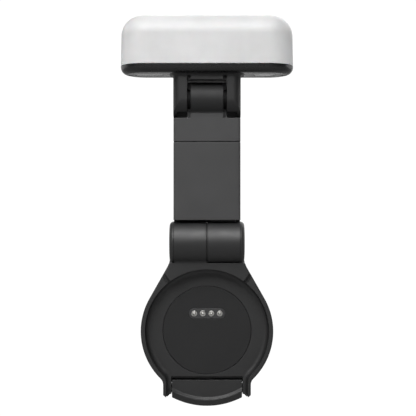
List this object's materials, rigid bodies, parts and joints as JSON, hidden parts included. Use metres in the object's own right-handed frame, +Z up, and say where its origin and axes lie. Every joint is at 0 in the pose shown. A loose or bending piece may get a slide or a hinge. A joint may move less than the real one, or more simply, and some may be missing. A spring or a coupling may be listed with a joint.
{
  "type": "document camera",
  "caption": "Document camera: a rounded head on a flat hinged arm above a round dock cradle with sprung contacts and a sprung release tongue.",
  "frame": {"origin": "centre of the round dock, on the front face of the contact disc", "axes": "+Z up along the arm, +Y to the back of the object, -Y to the side that the docked puck comes from, +X along both hinge axes"},
  "size_m": [0.1018, 0.0312, 0.231],
  "materials": {
    "white_shell": "fine satin texture",
    "black_body": "fine matte texture",
    "black_tray": "fine satin texture",
    "black_arm": "fine matte texture",
    "black_metal": "black powder coat",
    "black_disc": "fine matte texture",
    "black_insert": "moulded, semi-gloss",
    "contact_metal": "nickel plated, polished",
    "steel": "turned steel",
    "bush_brass": "sintered",
    "chassis_aluminium": "stamped",
    "circuit_board": "solder mask",
    "cable": "matte jacket",
    "lens_glass": "coated, polished",
    "window_glass": "tinted, polished"
  },
  "bodies": {
    "cradle": {"cradle_shell": "black_body", "cradle_rear_cover": "black_body", "cradle_screws": "steel", "contact_disc": "black_disc", "pin_insert": "black_insert", "pin_sleeves": "contact_metal", "pin_spring_1": "steel", "pin_spring_2": "steel", "pin_spring_3": "steel", "pin_spring_4": "steel", "contact_board": "circuit_board", "dock_cable": "cable", "tongue_pin": "steel", "tongue_spring": "steel", "lower_shaft": "steel", "lower_nut": "steel", "lower_disc_springs": "steel", "left_end_cap": "black_body"},
    "release_tongue": {"release_tongue": "black_body"},
    "contact_pin_1": {"contact_pin_1": "contact_metal"},
    "contact_pin_2": {"contact_pin_2": "contact_metal"},
    "contact_pin_3": {"contact_pin_3": "contact_metal"},
    "contact_pin_4": {"contact_pin_4": "contact_metal"},
    "arm": {"arm_spine": "black_metal", "arm_front_cover": "black_arm", "arm_rear_cover": "black_arm", "arm_screws": "steel", "arm_link": "black_arm", "arm_cable": "cable", "lower_friction_bush": "bush_brass", "upper_friction_bush": "bush_brass", "right_end_cap": "black_body"},
    "head": {"head_bracket": "black_metal", "bracket_screws": "steel", "head_tray": "black_tray", "tray_screws": "steel", "head_shell": "white_shell", "head_chassis": "chassis_aluminium", "chassis_screws": "steel", "main_board": "circuit_board", "lens_window": "window_glass", "lens_barrel": "black_insert", "lens_elements": "lens_glass", "sensor_board": "circuit_board", "camera_flex": "cable", "lamp_window": "window_glass", "lamp_board": "circuit_board", "upper_shaft": "steel", "upper_washers": "black_insert", "ear_caps": "black_body"}
  },
  "joints": [
    {"name": "arm_tilt", "type": "hinge", "parent": "cradle", "child": "arm", "pos_m": [0, -0.0025, 0.0522], "axis": [1, 0, 0], "range_deg": [-90, 90]},
    {"name": "head_tilt", "type": "hinge", "parent": "arm", "child": "head", "pos_m": [0, -0.0025, 0.1363], "axis": [1, 0, 0], "range_deg": [-90, 90]},
    {"name": "tongue_press", "type": "hinge", "parent": "cradle", "child": "release_tongue", "pos_m": [0, 0.0032, -0.0318], "axis": [1, 0, 0], "range_deg": [0, 7], "stiffness_Nm_per_rad": 0.03, "springref_deg": -17.19},
    {"name": "pin_press_1", "type": "slide", "parent": "cradle", "child": "contact_pin_1", "axis": [0, 1, 0], "range_m": [0, 0.0009], "stiffness_N_per_m": 300, "springref_m": -0.0006, "deforming": ["pin_spring_1"]},
    {"name": "pin_press_2", "type": "slide", "parent": "cradle", "child": "contact_pin_2", "axis": [0, 1, 0], "range_m": [0, 0.0009], "stiffness_N_per_m": 300, "springref_m": -0.0006, "deforming": ["pin_spring_2"]},
    {"name": "pin_press_3", "type": "slide", "parent": "cradle", "child": "contact_pin_3", "axis": [0, 1, 0], "range_m": [0, 0.0009], "stiffness_N_per_m": 300, "springref_m": -0.0006, "deforming": ["pin_spring_3"]},
    {"name": "pin_press_4", "type": "slide", "parent": "cradle", "child": "contact_pin_4", "axis": [0, 1, 0], "range_m": [0, 0.0009], "stiffness_N_per_m": 300, "springref_m": -0.0006, "deforming": ["pin_spring_4"]}
  ]
}
